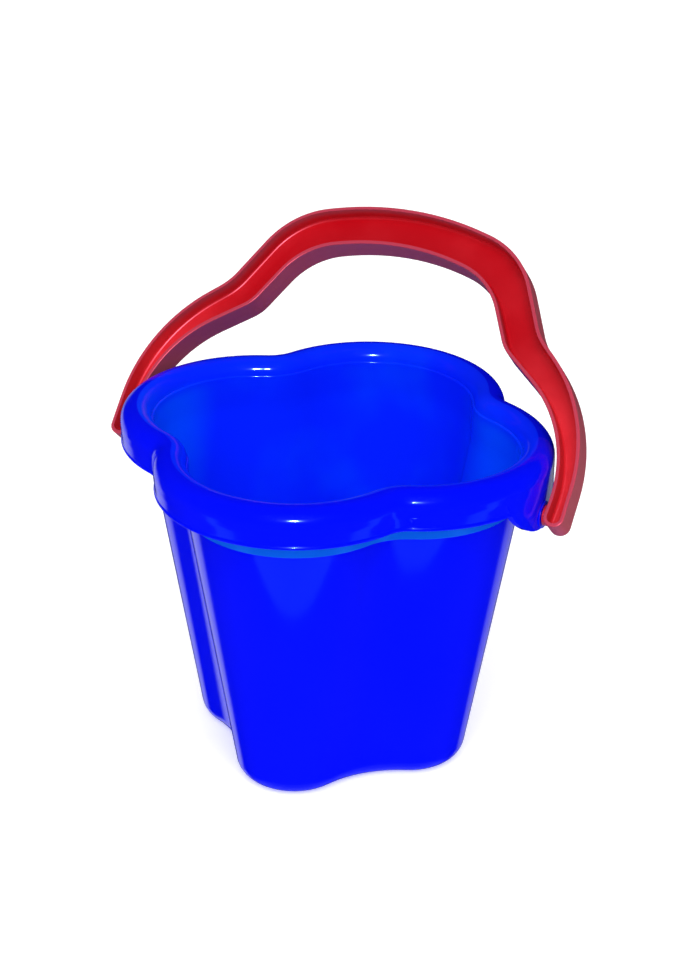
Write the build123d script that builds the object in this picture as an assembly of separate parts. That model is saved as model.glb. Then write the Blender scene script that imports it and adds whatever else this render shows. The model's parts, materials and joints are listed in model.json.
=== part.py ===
from build123d import *
from math import atan2, degrees, radians, sqrt, tan
import os

os.makedirs("parts", exist_ok=True)

# A child's sand bucket in two moulded pieces. Millimetres, +Z up, origin on the ground under the middle of
# the bucket. The two lobes of the rim that carry the handle lie on the X axis.

# ---- Driving dimensions: bucket ----
rim_across = 180.0        # over the rolled rim, from one lobe to the lobe opposite
height = 143.5            # ground to the top of the rim
rim_width = 13.5          # mouth edge to the outside of the rolled rim
rim_drop = 15.6           # rim top to the lower edge of its skirt
mouth_lobe_radius = 41.2  # plan radius of a lobe at the mouth edge
mouth_hollow_radius = 24.9  # plan radius of a hollow between two lobes at the mouth edge
wall_top_offset = 2.7     # outer face of the wall level with the skirt's edge, outward from the mouth edge
wall_foot_offset = -18.8  # the same face carried down to the ground
wall = 1.8
floor_thickness = 2.0
base_radius = 8.0
foot_recess = 1.2         # the floor stands clear of the ground inside the foot ring
foot_ring_width = 2.0

# ---- Driving dimensions: handle ----
pivot_z = 120.4
lean = 42.3               # from upright towards the back, as the handle rests when it is let go
band_depth = 12.2         # front face to back face
flange = 1.4
front_recess = 7.5
back_recess = 2.2
pin_diameter = 5.5
pin_clearance = 0.07      # radial, pin to hole
side_gap = 0.3            # between the faces that slide past each other at the pivot

# ---- Plan of the bucket ----
# An outline at offset o is four lobe arcs of radius lobe + o joined by four hollow arcs of radius
# hollow - o. All outlines share the same centres, so each one runs parallel to the others.
lobe_centre = rim_across / 2 - rim_width - mouth_lobe_radius
reach = mouth_lobe_radius + mouth_hollow_radius
hollow_centre = (lobe_centre + sqrt(2 * reach**2 - lobe_centre**2)) / 2
lobe_half_angle = degrees(atan2(hollow_centre, hollow_centre - lobe_centre))
hollow_half_angle = lobe_half_angle - 45
LOBES = (0, 90, 180, 270)


def filled(corners):
    """Face with rounded corners, from (x, y, corner radius) rows."""
    points = [(x, y) for x, y, _ in corners]
    radii = [radius for _, _, radius in corners]
    return make_face(FilletPolyline(*points, radius=radii, close=True))


def around_lobe(section_corners, side):
    """Section of (offset, z, radius) rows, revolved about the axis of the lobe that faces `side` degrees."""
    face = filled([(mouth_lobe_radius + offset, z, r) for offset, z, r in section_corners])
    turned = revolve(Plane.XZ * face, axis=Axis.Z, revolution_arc=2 * lobe_half_angle)
    return Rot(0, 0, side) * Pos(lobe_centre, 0, 0) * Rot(0, 0, -lobe_half_angle) * turned


def around_hollow(section_corners, side):
    """The same section, revolved about the axis outside the hollow that follows that lobe."""
    face = filled([(mouth_hollow_radius - offset, z, r) for offset, z, r in reversed(section_corners)])
    turned = revolve(Plane.XZ * face, axis=Axis.Z, revolution_arc=2 * hollow_half_angle)
    place = Rot(0, 0, side) * Pos(hollow_centre, hollow_centre, 0)
    return place * Rot(0, 0, 225 - hollow_half_angle) * turned


def outline_face(offset):
    """Flat face inside the outline at an offset."""
    arcs = []
    for side in LOBES:
        lobe = CenterArc((lobe_centre, 0), mouth_lobe_radius + offset, -lobe_half_angle, 2 * lobe_half_angle)
        hollow = CenterArc((hollow_centre, hollow_centre), mouth_hollow_radius - offset,
                           225 - hollow_half_angle, 2 * hollow_half_angle)
        arcs += [Rot(0, 0, side) * lobe, Rot(0, 0, side) * hollow]
    return make_face(arcs)


# ---- Bucket ----
skirt_z = height - rim_drop
draft = (wall_top_offset - wall_foot_offset) / skirt_z


def wall_offset(z):
    """Outer face of the wall at height z, as an offset from the mouth edge."""
    return wall_foot_offset + draft * z


floor_top = foot_recess + floor_thickness
floor_edge = -31.0                 # where the ringed section ends and the flat middle of the floor begins
foot_edge = wall_foot_offset - base_radius * tan(radians(45 - degrees(atan2(draft, 1)) / 2)) - foot_ring_width
collar_drop = 9.3                  # the stiffening collar ends this far below the skirt
collar_step = 0.4
skirt_thickness = 1.9
skirt_bend_z = height - 9.5        # below this the skirt curls in towards the wall
skirt_curl = 0.35
bead = 1.0                         # a thin bead along the skirt's edge comes back out to the full width
bead_slope = 0.6
mouth_edge = 0.8                   # inner face of the rolled rim
ledge_z = height - 6.1             # a narrow stacking ledge runs round below the mouth
ledge_edge = 0.1
inner_bend_z = (ledge_edge + wall - wall_foot_offset) / draft  # below this the wall is of even thickness
channel_top = height - 2.1
channel_inner = 2.7
channel_outer = rim_width - skirt_thickness
collar_z = skirt_z - collar_drop
collar = wall_offset(collar_z)

bucket_section = [
    (floor_edge, foot_recess, 0),
    (foot_edge - foot_recess, foot_recess, 0.4),
    (foot_edge, 0, 0.4),
    (wall_foot_offset, 0, base_radius),
    (collar, collar_z, 0),
    (collar + collar_step, collar_z + collar_step, 0),
    (channel_inner, channel_top, 4.0),
    (channel_outer, channel_top, 4.7),
    (channel_outer, skirt_bend_z, 12.0),
    (channel_outer - skirt_curl, skirt_z, 0.5),
    (rim_width, skirt_z, 0.6),
    (rim_width, skirt_z + bead, 0.5),
    (rim_width - skirt_curl, skirt_z + bead + bead_slope, 0.5),
    (rim_width, skirt_bend_z, 14.0),
    (rim_width, height, 6.7),
    (mouth_edge, height, 5.9),
    (mouth_edge, ledge_z, 0),
    (ledge_edge, ledge_z - 0.3, 0.6),
    (ledge_edge, inner_bend_z, 30.0),
    (wall_offset(floor_top) - wall, floor_top, 6.0),
    (floor_edge, floor_top, 0),
]

bucket = extrude(Pos(0, 0, foot_recess) * outline_face(floor_edge), floor_thickness)
for side in LOBES:
    bucket += around_lobe(bucket_section, side)
    bucket += around_hollow(bucket_section, side)

# Ears: at the two lobes on the X axis the skirt runs on down as a rounded tongue that carries the pivot.
ear_radius = 25.4
ear_bottom = 115.3
ear_top = skirt_bend_z + 1.5         # its outer face starts at the rim's full width, above the bead
ear_outer = rim_width
ear_inner = channel_outer - skirt_curl
ear_section = [
    (ear_inner, ear_bottom - 3, 0),
    (ear_outer, ear_bottom - 3, 0),
    (ear_outer, ear_top, 0),
    (ear_outer - skirt_thickness / 2, ear_top, 0),
    (ear_inner, skirt_z + bead, 0),
]
ear_disc = Rot(0, 90, 0) * Cylinder(ear_radius, 2 * rim_across)
tongues = Pos(0, 0, ear_bottom + ear_radius) * ear_disc

# Each ear has a round pad with a flat face, because the skirt itself is curved where the handle rubs.
pad_radius = 5.4
pad_face = lobe_centre + mouth_lobe_radius + ear_outer + 0.3
pad_back = lobe_centre + mouth_lobe_radius + ear_inner
hole_radius = pin_diameter / 2 + pin_clearance


def along_x(radius, start, end):
    """Round bar on the pivot axis from x = start to x = end."""
    return Pos((start + end) / 2, 0, pivot_z) * Rot(0, 90, 0) * Cylinder(radius, abs(end - start))


for side in (0, 180):
    bucket += around_lobe(ear_section, side) & tongues
    bucket += Rot(0, 0, side) * along_x(pad_radius, pad_back, pad_face)
    bucket -= Rot(0, 0, side) * along_x(hole_radius, pad_back - 2, pad_face + 2)

# The moulding's gate mark, a small button in the middle of the recessed underside.
gate_height = 0.5
bucket += Pos(0, 0, foot_recess - gate_height / 2) * Cylinder(2.5, gate_height)

# ---- Handle ----
# Drawn upright in the XZ plane with the pivot axis at its origin, then leaned back and lifted into place.
# Each edge of the band is a crown, two shoulders, two necks and two lower bends, mirrored about the middle.
outer_edge = [(0, 117.8, 127.0), (51.7, 104.0, 37.0), (69.5, 69.3, 25.0), (100.4, 42.0, 69.0)]
inner_edge = [(0, 101.0, 103.0), (41.5, 88.8, 30.5), (56.0, 61.5, 17.7), (93.9, 33.0, 54.0)]
end_outer = 100.2
end_inner = 91.6
end_drop = (end_outer - end_inner) / 2 + 1.3  # the tip reaches a little further below the pivot
end_corner = 4.0
edge_rounding = 0.4
recess_corner = 1.2


def mirrored(edge):
    return [(-x, z, radius) for x, z, radius in edge[:0:-1]] + edge


right_end = [(end_outer, -end_drop, end_corner), (end_inner, -end_drop, end_corner)]
left_end = [(-x, z, radius) for x, z, radius in reversed(right_end)]
band_outline = filled(mirrored(outer_edge) + right_end + mirrored(inner_edge)[::-1] + left_end)
recess_outline = offset(band_outline, -flange)

front = -band_depth / 2
handle = Pos(0, front, 0) * extrude(Plane.XZ * band_outline, -band_depth)
front_edges = handle.edges().filter_by_position(Axis.Y, front, front)
back_edges = handle.edges().filter_by_position(Axis.Y, -front, -front)
handle = fillet(front_edges + back_edges, edge_rounding)
recess = Pos(0, front, 0) * extrude(Plane.XZ * recess_outline, -front_recess)
web_face = front + front_recess
handle -= fillet(recess.edges().filter_by_position(Axis.Y, web_face, web_face), recess_corner)
handle -= Pos(0, -front - back_recess, 0) * extrude(Plane.XZ * recess_outline, -back_recess)

# Snap pins: a shoulder that meets the ear's pad, the pin through the hole, and a tapered head behind it.
shoulder_radius = 4.1
head_radius = 3.4
head_length = 2.6
head_tip_radius = 2.2
ear_back = pad_back - 0.5          # clears the tongue's curved inner face beside the hole
shoulder_face = pad_face + side_gap
head_face = ear_back - side_gap

joint_overlap = 0.2                # each length of the pin runs this far into the next
snap_pin = along_x(shoulder_radius, shoulder_face, end_inner + flange / 2)
snap_pin += along_x(pin_diameter / 2, head_face - joint_overlap, shoulder_face + joint_overlap)
head = Cone(head_radius, head_tip_radius, head_length)
snap_pin += Pos(head_face - head_length / 2, 0, pivot_z) * Rot(0, -90, 0) * head
handle = Pos(0, 0, pivot_z) * Rot(-lean, 0, 0) * handle
handle += snap_pin + Rot(0, 0, 180) * snap_pin

export_step(bucket, "parts/bucket.step")
export_step(handle, "parts/handle.step")
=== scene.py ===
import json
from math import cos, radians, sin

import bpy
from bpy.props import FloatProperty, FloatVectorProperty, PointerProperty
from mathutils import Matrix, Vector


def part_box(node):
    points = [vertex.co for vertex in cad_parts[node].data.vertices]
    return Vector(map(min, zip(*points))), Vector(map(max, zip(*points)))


bl_info = {
    "name": "Sand Bucket",
    "version": (1, 0, 0),
    "blender": (4, 5, 0),
    "location": "View3D > Sidebar > Sand Bucket",
    "description": "Gives the sand bucket and its handle their moulded plastic, and sets up a plain studio",
    "category": "Object",
}

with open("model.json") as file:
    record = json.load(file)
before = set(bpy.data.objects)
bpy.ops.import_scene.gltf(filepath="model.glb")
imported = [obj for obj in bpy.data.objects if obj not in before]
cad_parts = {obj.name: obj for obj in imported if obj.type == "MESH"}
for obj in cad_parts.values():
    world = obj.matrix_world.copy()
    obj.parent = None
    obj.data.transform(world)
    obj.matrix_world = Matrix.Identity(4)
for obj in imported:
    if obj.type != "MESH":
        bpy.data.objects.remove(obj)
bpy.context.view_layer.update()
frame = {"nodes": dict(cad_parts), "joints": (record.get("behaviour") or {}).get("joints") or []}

# Places on the two mouldings, in metres.
PIVOT_Z = frame["joints"][0]["pos_m"][2]
RIM_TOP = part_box("bucket")[1].z
SKIRT_Z = RIM_TOP - 0.0156  # lower edge of the rim's skirt
COLLAR_Z = SKIRT_Z - 0.0093  # lower edge of the collar under the skirt
WALL_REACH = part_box("bucket")[1].y - 0.0095  # from the middle to the outside of the collar
LOBE_CENTRE = 0.0353  # from the middle to the axis of each lobe
HALF_BAND = 0.0061  # half the depth of the handle's band

# From where a change of colour starts to where it is full, in metres: painted light inside the bucket's side
# lobes, painted light on the handle's lower arms and a painted highlight along the handle's rims.
RIGHT_PAINTED_LIGHT = (0.024, 0.056)  # x, for painted light inside the right lobe
LEFT_PAINTED_LIGHT = (-0.066, -0.078)  # x, for painted light inside the left lobe
PAINTED_LIGHT_UNDER_RIM = (RIM_TOP - 0.003, RIM_TOP - 0.012)
LIT_LOWER_ARMS = (0.172, 0.145)  # z, down the handle's arms
RIM_HIGHLIGHT_BAND = (HALF_BAND - 0.0005, HALF_BAND - 0.0001)  # from the middle of the band's depth

RECESS_REACH = 0.009  # how far off a wall still counts as hiding the handle's surface
GRAIN_DEPTH = 0.00002
POLYPROPYLENE_IOR = 1.49

# What the glossy plastic reflects, in degrees: the way round from the camera's side, half width, lowest and
# highest elevation. The last number is the strength.
REFLECTION_CARDS = (
    (215.0, 5.0, -45.0, -13.0, 0.75),
    (146.0, 8.0, -42.0, -26.0, 0.45),
    (191.0, 3.0, -12.0, -4.0, 0.4),
)
CARD_SOFTNESS = radians(12)
BELOW = (sin(radians(-50)), sin(radians(-62)))  # from where the glow from below starts to where it is full

WHITE = (1.0, 1.0, 1.0)
BLACK = (0.0, 0.0, 0.0)


# ---- Shader maths ----
class Socket:
    """A shader value that Python expressions can be built on."""

    def __init__(self, tree, socket):
        self.tree = tree
        self.socket = socket

    def node(self, kind, settings=None, **inputs):
        """Adds a node. Settings are set first, then sockets by name, with _ for a space or by index as i0."""
        made = self.tree.nodes.new(kind)
        for name, value in (settings or {}).items():
            setattr(made, name, value)
        for name, value in inputs.items():
            key = int(name[1:]) if name[1:].isdigit() else name.replace("_", " ")
            if isinstance(value, Socket):
                self.tree.links.new(value.socket, made.inputs[key])
            else:
                made.inputs[key].default_value = value
        return made

    def out(self, made, name=0):
        return Socket(self.tree, made.outputs[name])

    def size(self):
        """The value without its sign."""
        return self.math("ABSOLUTE", self)

    def dot(self, axis):
        made = self.node("ShaderNodeVectorMath", {"operation": "DOT_PRODUCT"}, i0=self, i1=axis)
        return self.out(made, "Value")

    def math(self, operation, *values):
        given = {f"i{k}": value for k, value in enumerate(values)}
        return self.out(self.node("ShaderNodeMath", {"operation": operation}, **given))

    def __add__(self, other):
        return self.math("ADD", self, other)

    def __radd__(self, other):
        return self.math("ADD", other, self)

    def __sub__(self, other):
        return self.math("SUBTRACT", self, other)

    def __rsub__(self, other):
        return self.math("SUBTRACT", other, self)

    def __mul__(self, other):
        return self.math("MULTIPLY", self, other)

    def __rmul__(self, other):
        return self.math("MULTIPLY", other, self)

    def __truediv__(self, other):
        return self.math("DIVIDE", self, other)

    def __rtruediv__(self, other):
        return self.math("DIVIDE", other, self)

    def __pow__(self, other):
        return self.math("POWER", self, other)

    def __rpow__(self, other):
        return self.math("POWER", other, self)

    def ramp(self, low, high):
        """0 below low, 1 above high, smooth between. Low may be the larger."""
        settings = {"interpolation_type": "SMOOTHSTEP"}
        if low > high:
            return 1 - self.ramp(high, low)
        return self.out(self.node("ShaderNodeMapRange", settings, Value=self, From_Min=low, From_Max=high))


def mix_colours(mask, first, second):
    """first where mask is 0, second where it is 1."""
    made = mask.node("ShaderNodeMix", {"data_type": "RGBA"}, Factor=mask)
    for index, colour in ((6, first), (7, second)):
        if isinstance(colour, Socket):
            mask.tree.links.new(colour.socket, made.inputs[index])
        else:
            made.inputs[index].default_value = (*colour, 1.0)
    return mask.out(made, 2)


def empty_material(name):
    """A new material with one Principled shader: (material, shader)."""
    material = bpy.data.materials.new(name)
    material.use_nodes = True
    return material, material.node_tree.nodes["Principled BSDF"]


def place_and_normal(material):
    """Where a point of the surface is and which way it faces, both in the object's own axes."""
    start = Socket(material.node_tree, None)
    coordinates = start.node("ShaderNodeTexCoord")
    return start.out(coordinates, "Object"), start.out(coordinates, "Normal")


def split(vector):
    """The X, Y and Z of a vector."""
    parts = vector.node("ShaderNodeSeparateXYZ", None, Vector=vector)
    return [vector.out(parts, axis) for axis in "XYZ"]


def noise(place, scale, detail):
    return place.out(place.node("ShaderNodeTexNoise", None, Vector=place, Scale=scale, Detail=detail))


def feed(shader, name, value):
    value.tree.links.new(value.socket, shader.inputs[name])


def moulding_texture(place):
    """Height of a moulded surface: faint orange peel, with a longer ripple where the plastic shrank."""
    peel = noise(place, 900.0, 2.0)
    ripple = noise(place, 38.0, 1.0)
    return peel * 0.05 + ripple * 0.6


def finish_moulding(shader, place, colour, roughness, gloss_tint):
    feed(shader, "Base Color", colour)
    feed(shader, "Roughness", roughness)
    shader.inputs["IOR"].default_value = POLYPROPYLENE_IOR
    shader.inputs["Specular Tint"].default_value = (*gloss_tint, 1.0)
    height = moulding_texture(place)
    bump = place.node("ShaderNodeBump", None, Strength=1.0, Distance=GRAIN_DEPTH, Height=height)
    feed(shader, "Normal", place.out(bump, "Normal"))


def inner_faces(place, normal):
    """1 on the bucket's inner faces. A face is an inner one when it looks towards its lobe's own axis."""
    x, y, _ = split(place)
    normal_x, normal_y, _ = split(normal)
    beside, ahead = x.size(), y.size()
    side_lobe = beside.math("GREATER_THAN", beside, ahead)
    from_lobe_x = beside - side_lobe * LOBE_CENTRE
    from_lobe_y = ahead - (1 - side_lobe) * LOBE_CENTRE
    from_lobe = (from_lobe_x * from_lobe_x + from_lobe_y * from_lobe_y) ** 0.5
    facing_x = normal_x * x.math("SIGN", x)
    facing_y = normal_y * y.math("SIGN", y)
    outward = (from_lobe_x * facing_x + from_lobe_y * facing_y) / from_lobe
    return outward.ramp(0.05, -0.15)


def collar_band(place):
    """1 on the collar that shows between the skirt and the wall, but not on the ears: the band of painted
    teal light.
    """
    x, _, z = split(place)
    band = z.ramp(COLLAR_Z - 0.0001, COLLAR_Z + 0.0002) * z.ramp(SKIRT_Z + 0.0002, SKIRT_Z)
    return band * x.size().ramp(WALL_REACH + 0.001, WALL_REACH)


def painted_lobe_light(place):
    """Over 0 where light is painted inside the side lobes, below the rim, further round on the right."""
    x, _, z = split(place)
    return (x.ramp(*RIGHT_PAINTED_LIGHT) * 1.3 + x.ramp(*LEFT_PAINTED_LIGHT) * 1.5) * z.ramp(*PAINTED_LIGHT_UNDER_RIM)


def bucket_plastic(look):
    """Glossy blue polypropylene with painted light: a lighter, greener blue on the inner faces, lighter blue
    inside the side lobes and a teal band on the collar under the skirt, with random lighter patches inside.
    """
    material, shader = empty_material("blue_polypropylene")
    place, normal = place_and_normal(material)
    inside = inner_faces(place, normal)
    cloud = noise(place, 22.0, 3.0)
    # Painted light: the inner faces get a lighter, greener blue than the outside.
    colour = mix_colours(inside, tuple(look.bucket_colour), tuple(look.bucket_inside_colour))
    # Random lighter patches inside, then painted light inside the side lobes, both in the same lighter blue.
    colour = mix_colours(cloud.ramp(0.45, 0.8) * inside * 0.4, colour, tuple(look.bucket_glow))
    colour = mix_colours(painted_lobe_light(place) * inside * (0.35 + cloud * 0.6), colour, tuple(look.bucket_glow))
    # Painted teal light on the collar band under the skirt.
    colour = mix_colours(collar_band(place) * (1 - inside), colour, tuple(look.collar_colour))
    roughness = 0.08 + cloud * 0.06
    finish_moulding(shader, place, colour, roughness, look.bucket_gloss)
    return material


def handle_plastic(look):
    """Red polypropylene: polished faces, duller outer sides with painted shade and a painted reflection, a
    painted highlight along the flange rims, painted light on the lower arms and random lighter patches.
    """
    material, shader = empty_material("red_polypropylene")
    place, normal = place_and_normal(material)
    depth_axis = (0.0, cos(look.handle_lean), -sin(look.handle_lean))
    depth = place.dot(depth_axis) + PIVOT_Z * sin(look.handle_lean)
    side = normal.dot(depth_axis).size().ramp(0.75, 0.35)
    rim = depth.size().ramp(*RIM_HIGHLIGHT_BAND)
    settings = {"samples": 8, "only_local": True}
    hidden = place.node("ShaderNodeAmbientOcclusion", settings, Distance=RECESS_REACH)
    recessed = place.out(hidden, "AO").ramp(0.95, 0.7)
    cloud = noise(place, 60.0, 3.0)
    lower_arms = split(place)[2].ramp(*LIT_LOWER_ARMS)
    # Painted light on the lower arms in a lighter red, over random lighter patches.
    arm_light_and_mottle = cloud.ramp(0.35, 0.8) * 0.15 + lower_arms * (0.25 + cloud)
    colour = mix_colours(arm_light_and_mottle, tuple(look.handle_colour), tuple(look.handle_glow))
    # Painted shade and painted reflection on the open side faces; the ambient occlusion keeps it off the
    # recess walls.
    colour = mix_colours(side * (1 - recessed), colour, tuple(look.handle_side_colour))
    # Painted highlight along the rims of the flanges.
    colour = mix_colours(rim * (1 - side) * 0.8, colour, tuple(look.handle_rim_colour))
    roughness = 0.3 + cloud * 0.08 + side * 0.15
    finish_moulding(shader, place, colour, roughness, look.handle_gloss)
    return material


def paint(node, material):
    node.data.materials.clear()
    node.data.materials.append(material)


# ---- Properties ----
class BucketLook(bpy.types.PropertyGroup):
    bucket_colour: FloatVectorProperty(
        name="Bucket colour", description="Body colour of the bucket's plastic",
        default=(0.0004, 0.0028, 0.76), subtype="COLOR", min=0.0, max=1.0)
    # Painted light: a lighter, greener blue for the bucket's inner faces.
    bucket_inside_colour: FloatVectorProperty(
        name="Inside colour", description="Lighter, greener blue painted on the bucket's inner faces as light inside it",
        default=(0.001, 0.017, 0.92), subtype="COLOR", min=0.0, max=1.0)
    # Painted light inside the side lobes, also used for random lighter patches inside.
    bucket_glow: FloatVectorProperty(
        name="Bucket glow", description="Lighter blue painted as light inside the side lobes, also in random patches inside",
        default=(0.0005, 0.08, 0.94), subtype="COLOR", min=0.0, max=1.0)
    # Painted teal light for the collar band.
    collar_colour: FloatVectorProperty(
        name="Collar colour", description="Teal painted as light on the collar under the skirt",
        default=(0.002, 0.1, 0.66), subtype="COLOR", min=0.0, max=1.0)
    bucket_gloss: FloatVectorProperty(
        name="Bucket gloss", description="Tint of what the bucket's plastic reflects face on",
        default=(0.1, 0.2, 1.0), subtype="COLOR", min=0.0, max=1.0)
    handle_colour: FloatVectorProperty(
        name="Handle colour", description="Body colour of the handle's plastic",
        default=(0.44, 0.0003, 0.004), subtype="COLOR", min=0.0, max=1.0)
    # Painted shade and painted reflection for the handle's open side faces.
    handle_side_colour: FloatVectorProperty(
        name="Handle side colour", description="Darker red with a painted reflection on the open side faces",
        default=(0.32, 0.045, 0.07), subtype="COLOR", min=0.0, max=1.0)
    # Painted highlight for the rims of the handle's flanges.
    handle_rim_colour: FloatVectorProperty(
        name="Handle rim colour", description="Pale red painted as a highlight along the rims of the flanges",
        default=(0.37, 0.045, 0.08), subtype="COLOR", min=0.0, max=1.0)
    # Painted light for the handle's lower arms, also used for random lighter patches.
    handle_glow: FloatVectorProperty(
        name="Handle highlight colour", description="Lighter red painted as light on the lower arms, also in random patches",
        default=(0.66, 0.02, 0.03), subtype="COLOR", min=0.0, max=1.0)
    handle_gloss: FloatVectorProperty(
        name="Handle gloss", description="Tint of what the handle's plastic reflects face on",
        default=(1.0, 0.2, 0.3), subtype="COLOR", min=0.0, max=1.0)
    handle_lean: FloatProperty(
        name="Handle lean", description="Angle from upright at which the handle is built",
        default=radians(42.3), subtype="ANGLE")


class StageSettings(bpy.types.PropertyGroup):
    floor_size: FloatProperty(
        name="Floor size", description="Side of the square floor", default=12.0, unit="LENGTH", min=1.0)
    floor_colour: FloatVectorProperty(
        name="Floor colour", description="Colour of the plain floor", default=(0.9, 0.9, 0.9),
        subtype="COLOR", min=0.0, max=1.0)
    floor_glow: FloatProperty(
        name="Floor glow", description="White light that the floor gives off, to keep its shadows faint",
        default=0.35, min=0.0)
    camera_azimuth: FloatProperty(
        name="Camera azimuth", description="Turn of the camera round the bucket from the front",
        default=radians(25.2), subtype="ANGLE")
    camera_elevation: FloatProperty(
        name="Camera elevation", description="Angle of the camera above the horizon",
        default=radians(25.37), subtype="ANGLE")
    camera_roll: FloatProperty(
        name="Camera roll", description="Turn of the camera about its own line of sight",
        default=radians(0.73), subtype="ANGLE")
    camera_distance: FloatProperty(
        name="Camera distance", description="From the camera to the point it looks at",
        default=0.933, unit="LENGTH", min=0.1)
    camera_lens: FloatProperty(
        name="Camera lens", description="Focal length", default=86.9, unit="CAMERA", min=10.0)
    aim_height: FloatProperty(
        name="Aim height", description="Height of the point that the camera looks at", default=0.116,
        unit="LENGTH")
    aim_aside: FloatProperty(
        name="Aim aside", description="How far to the right of the bucket's axis the camera looks",
        default=0.0044, unit="LENGTH")
    flash_power: FloatProperty(
        name="Flash power", description="Power of the small lamp beside the camera, seen only in gloss",
        default=38.0, unit="POWER", min=0.0)
    flash_size: FloatProperty(
        name="Flash size", description="Diameter of the small lamp", default=0.065, unit="LENGTH", min=0.001)
    flash_distance: FloatProperty(
        name="Flash distance", description="From the middle of the bucket to the small lamp", default=1.0,
        unit="LENGTH", min=0.1)
    flash_lift: FloatProperty(
        name="Flash lift", description="How far the small lamp stands above the camera's line of sight",
        default=0.06)
    soft_light: FloatProperty(
        name="Soft light", description="Brightness of the even light from all round", default=0.8, min=0.0)
    below_colour: FloatVectorProperty(
        name="Glow from below", description="What glossy faces that look straight down reflect",
        default=(0.25, 0.3, 0.9), subtype="COLOR", min=0.0, max=1.0)
    card_colour: FloatVectorProperty(
        name="Front card colour", description="Brightness of the low card in front of the bucket",
        default=(0.3, 1.1, 1.1), subtype="COLOR", min=0.0, max=2.0)
    card_near: FloatProperty(
        name="Front card near edge", description="From the middle of the bucket to the card", default=0.152,
        unit="LENGTH")
    card_depth: FloatProperty(
        name="Front card depth", description="From the card's near edge to its far edge", default=0.05,
        unit="LENGTH")
    card_width: FloatProperty(
        name="Front card width", description="Length of the card across the view", default=0.9, unit="LENGTH")
    front_power: FloatProperty(
        name="Front light power", description="Power of the large soft light behind the camera", default=32.0,
        unit="POWER", min=0.0)
    front_size: FloatProperty(
        name="Front light size", description="Diameter of the large soft light", default=1.6, unit="LENGTH",
        min=0.01)
    front_distance: FloatProperty(
        name="Front light distance", description="From the middle of the bucket along the line of sight",
        default=1.8, unit="LENGTH", min=0.1)
    front_lift: FloatProperty(
        name="Front light lift", description="Height of the large light above the line of sight", default=0.8,
        unit="LENGTH")


# ---- Operators ----
class BUCKET_OT_mould_bucket(bpy.types.Operator):
    """Gives the bucket its blue plastic"""
    bl_idname = "bucket.mould_bucket"
    bl_label = "Bucket"

    def execute(self, context):
        paint(frame["nodes"]["bucket"], bucket_plastic(context.scene.bucket_look))
        return {"FINISHED"}


class BUCKET_OT_mould_handle(bpy.types.Operator):
    """Gives the handle its red plastic"""
    bl_idname = "bucket.mould_handle"
    bl_label = "Handle"

    def execute(self, context):
        paint(frame["nodes"]["handle"], handle_plastic(context.scene.bucket_look))
        return {"FINISHED"}


def add_camera(settings):
    """Adds the camera and returns the direction from the bucket towards it."""
    azimuth, elevation = settings.camera_azimuth, settings.camera_elevation
    back = Vector((sin(azimuth) * cos(elevation), -cos(azimuth) * cos(elevation), sin(elevation)))
    side = Vector((cos(azimuth), sin(azimuth), 0.0))
    aim = side * settings.aim_aside + Vector((0, 0, settings.aim_height))
    data = bpy.data.cameras.new("camera")
    data.lens = settings.camera_lens
    data.sensor_width = 36.0
    camera = bpy.data.objects.new("camera", data)
    bpy.context.scene.collection.objects.link(camera)
    camera.location = aim + back * settings.camera_distance
    turn = (-back).to_track_quat("-Z", "Y").to_matrix() @ Matrix.Rotation(settings.camera_roll, 3, "Z")
    camera.rotation_euler = turn.to_euler()
    bpy.context.scene.camera = camera
    return back


def add_area_light(name, location, target, size, power):
    data = bpy.data.lights.new(name, "AREA")
    data.shape = "DISK"
    data.size = size
    data.energy = power
    light = bpy.data.objects.new(name, data)
    bpy.context.scene.collection.objects.link(light)
    light.location = location
    light.rotation_euler = (target - light.location).to_track_quat("-Z", "Y").to_euler()
    light.visible_camera = False
    return light


def add_sheet(name, corners, material):
    """A flat four-cornered piece of the stage."""
    mesh = bpy.data.meshes.new(name)
    mesh.from_pydata(corners, [], [(0, 1, 2, 3)])
    mesh.materials.append(material)
    sheet = bpy.data.objects.new(name, mesh)
    bpy.context.scene.collection.objects.link(sheet)
    return sheet


def add_floor(settings):
    half = settings.floor_size / 2
    material, shader = empty_material("white_floor")
    shader.inputs["Base Color"].default_value = (*settings.floor_colour, 1.0)
    shader.inputs["Roughness"].default_value = 0.9
    shader.inputs["Specular IOR Level"].default_value = 0.1
    shader.inputs["Emission Color"].default_value = (*WHITE, 1.0)
    shader.inputs["Emission Strength"].default_value = settings.floor_glow
    corners = [(-half, -half, 0), (half, -half, 0), (half, half, 0), (-half, half, 0)]
    floor = add_sheet("floor", corners, material)
    floor.visible_glossy = False


def add_front_card(settings):
    """A low card in front of the bucket that only the glossy plastic sees."""
    turn = Matrix.Rotation(settings.camera_azimuth, 4, "Z")
    near = -settings.card_near
    far = near - settings.card_depth
    half = settings.card_width / 2
    corners = [turn @ Vector((x, y, 0)) for x, y in ((-half, near), (half, near), (half, far), (-half, far))]
    material, shader = empty_material("front_card")
    shader.inputs["Base Color"].default_value = (*BLACK, 1.0)
    shader.inputs["Emission Color"].default_value = (*settings.card_colour, 1.0)
    shader.inputs["Emission Strength"].default_value = 1.0
    material.cycles.emission_sampling = "NONE"
    card = add_sheet("front_card", corners, material)
    for ray in ("camera", "diffuse", "transmission", "shadow"):
        setattr(card, f"visible_{ray}", False)


def reflection_card(sky, turn, half_width, low, high):
    """How much of a tall soft-edged card a reflected ray meets. The angles are in degrees."""
    x, y, z = sky
    low, high, half_width = radians(low), radians(high), radians(half_width)
    towards = (x * sin(turn) - y * cos(turn)) / (1 - z * z) ** 0.5
    across = towards.ramp(cos(half_width + CARD_SOFTNESS), cos(half_width))
    return across * z.ramp(sin(low - CARD_SOFTNESS), sin(low)) * z.ramp(sin(high + CARD_SOFTNESS), sin(high))


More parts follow.
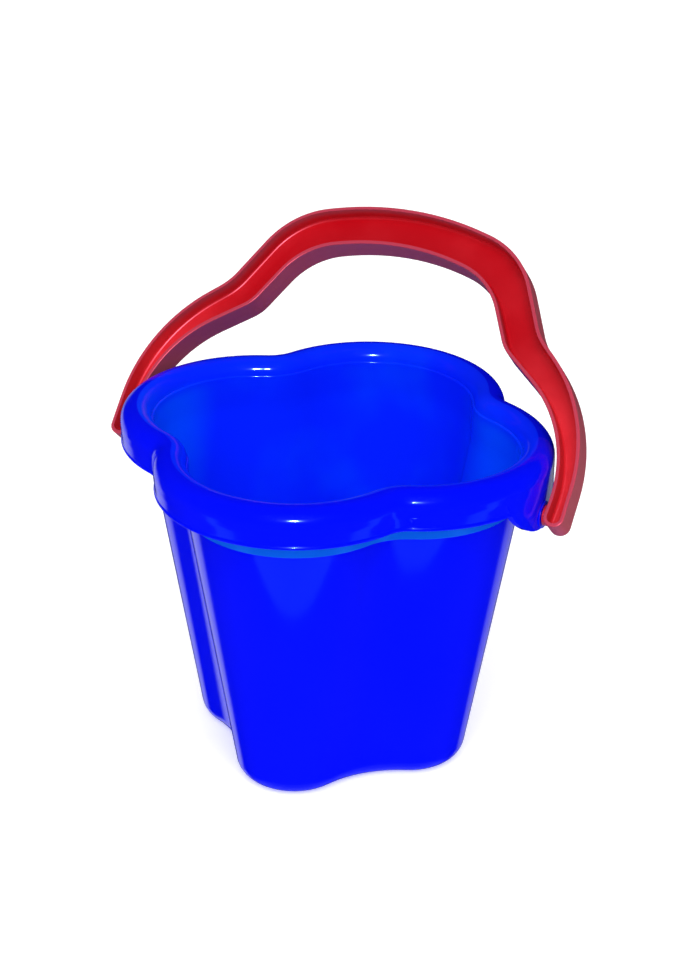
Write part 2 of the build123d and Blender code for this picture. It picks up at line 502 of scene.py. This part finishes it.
def add_surroundings(settings):
    """White to the eye, an even soft light on the plastic, and dark in reflections but for a few cards."""
    world = bpy.data.worlds.new("studio")
    bpy.context.scene.world = world
    world.use_nodes = True
    world.cycles.sampling_method = "NONE"
    start = Socket(world.node_tree, None)
    sky = split(start.out(start.node("ShaderNodeTexCoord"), "Generated"))
    cards = 0.0
    for turn, half_width, low, high, strength in REFLECTION_CARDS:
        card = reflection_card(sky, settings.camera_azimuth + radians(turn), half_width, low, high)
        cards = card * strength + cards
    below = sky[2].ramp(*BELOW)
    seen_in_gloss = mix_colours(cards, BLACK, WHITE)
    seen_in_gloss = mix_colours(below, seen_in_gloss, tuple(settings.below_colour))
    path = start.node("ShaderNodeLightPath")
    shade = mix_colours(start.out(path, "Is Glossy Ray"), (settings.soft_light,) * 3, seen_in_gloss)
    shade = mix_colours(start.out(path, "Is Camera Ray"), shade, WHITE)
    feed(world.node_tree.nodes["Background"], "Color", shade)


def add_lights(settings, back):
    middle = Vector((0, 0, RIM_TOP / 2))
    flash_way = (back + Vector((0, 0, settings.flash_lift))).normalized()
    flash_place = middle + flash_way * settings.flash_distance
    flash = add_area_light("flash", flash_place, middle, settings.flash_size, settings.flash_power)
    flash.visible_diffuse = False
    front_place = middle + back * settings.front_distance + Vector((0, 0, settings.front_lift))
    front = add_area_light("front", front_place, middle, settings.front_size, settings.front_power)
    front.visible_glossy = False


class BUCKET_OT_set_stage(bpy.types.Operator):
    """Adds the floor, the lights and the camera"""
    bl_idname = "bucket.set_stage"
    bl_label = "Stage"

    def execute(self, context):
        settings = context.scene.bucket_stage
        back = add_camera(settings)
        add_floor(settings)
        add_front_card(settings)
        add_surroundings(settings)
        add_lights(settings, back)
        context.scene.view_settings.view_transform = "Standard"
        return {"FINISHED"}


class BUCKET_PT_panel(bpy.types.Panel):
    bl_idname = "BUCKET_PT_panel"
    bl_label = "Sand Bucket"
    bl_space_type = "VIEW_3D"
    bl_region_type = "UI"
    bl_category = "Sand Bucket"

    def draw(self, context):
        for operator in OPERATORS:
            self.layout.operator(operator.bl_idname)
        for group, settings in (("Look", context.scene.bucket_look), ("Stage", context.scene.bucket_stage)):
            box = self.layout.box()
            box.label(text=group)
            for name in settings.bl_rna.properties.keys():
                if name not in ("rna_type", "name"):
                    box.prop(settings, name)


OPERATORS = (BUCKET_OT_mould_bucket, BUCKET_OT_mould_handle, BUCKET_OT_set_stage)
CLASSES = (BucketLook, StageSettings, *OPERATORS, BUCKET_PT_panel)


def register():
    for cls in CLASSES:
        bpy.utils.register_class(cls)
    bpy.types.Scene.bucket_look = PointerProperty(type=BucketLook)
    bpy.types.Scene.bucket_stage = PointerProperty(type=StageSettings)


def unregister():
    del bpy.types.Scene.bucket_stage
    del bpy.types.Scene.bucket_look
    for cls in reversed(CLASSES):
        bpy.utils.unregister_class(cls)


def main():
    register()
    bpy.ops.bucket.mould_bucket()
    bpy.ops.bucket.mould_handle()
    bpy.ops.bucket.set_stage()


if __name__ == "__main__":
    main()
